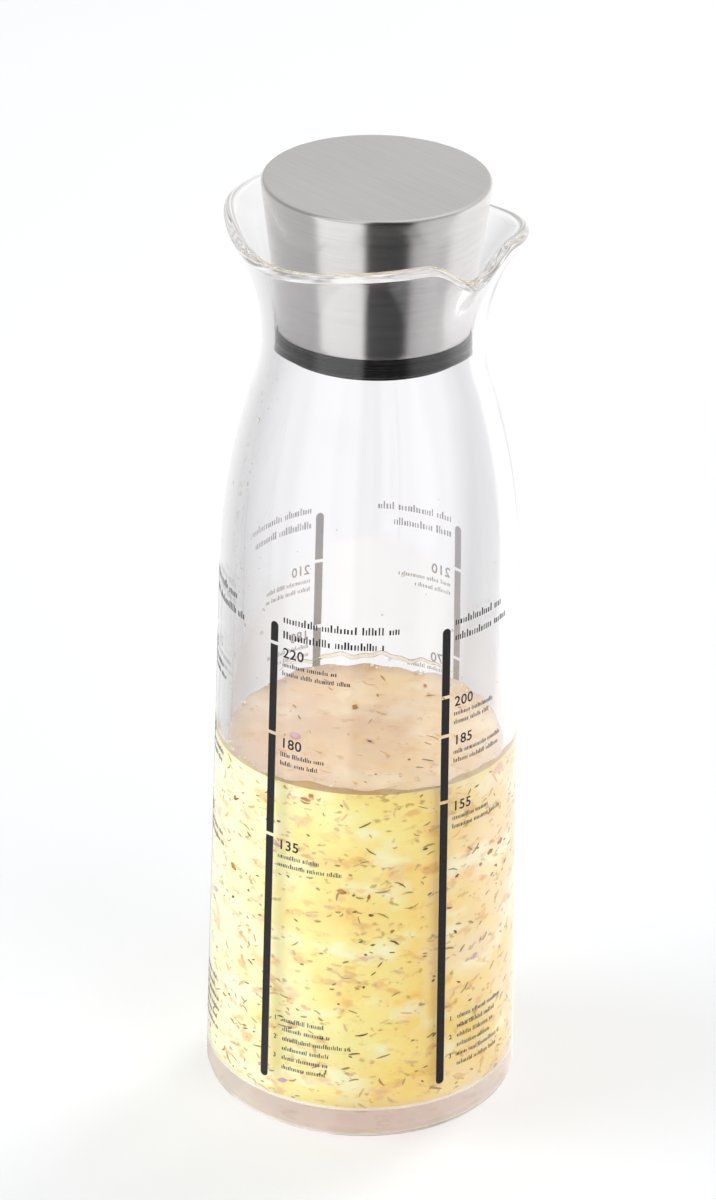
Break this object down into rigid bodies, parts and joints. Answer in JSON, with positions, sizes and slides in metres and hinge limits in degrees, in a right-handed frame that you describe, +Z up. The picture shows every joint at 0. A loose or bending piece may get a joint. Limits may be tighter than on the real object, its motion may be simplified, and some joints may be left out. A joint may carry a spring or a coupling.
{
  "type": "salad dressing shaker",
  "caption": "Tall round glass shaker bottle with a flared, wavy pouring rim, printed measuring bars and a tapered steel stopper held by a soft seal ring.",
  "frame": {"origin": "centre of the foot, on the surface that the bottle stands on", "axes": "+Z up along the bottle, +X towards the pouring spout, +Y to the left when looking along +X"},
  "size_m": [0.06, 0.06, 0.1886],
  "materials": {
    "clear_glass": "clear and glossy",
    "cap_steel": "fine brushed",
    "core_plastic": "smooth matt",
    "seal_rubber": "soft satin",
    "print_enamel": "baked print"
  },
  "bodies": {
    "carafe": {"glass_carafe": "clear_glass", "scale_bar_1": "print_enamel", "scale_bar_2": "print_enamel", "scale_bar_3": "print_enamel", "scale_bar_4": "print_enamel", "scale_bar_5": "print_enamel"},
    "seal": {"seal_ring": "seal_rubber"},
    "stopper": {"cap_shell": "cap_steel", "plug_core": "core_plastic", "plug_cover": "core_plastic"}
  },
  "joints": [
    {"name": "stopper_lift", "type": "slide", "parent": "carafe", "child": "seal", "axis": [0, 0, 1], "range_m": [0, 0.06]},
    {"name": "stopper_turn", "type": "hinge", "parent": "seal", "child": "stopper", "pos_m": [0, 0, 0.158], "axis": [0, 0, 1], "continuous": true}
  ]
}
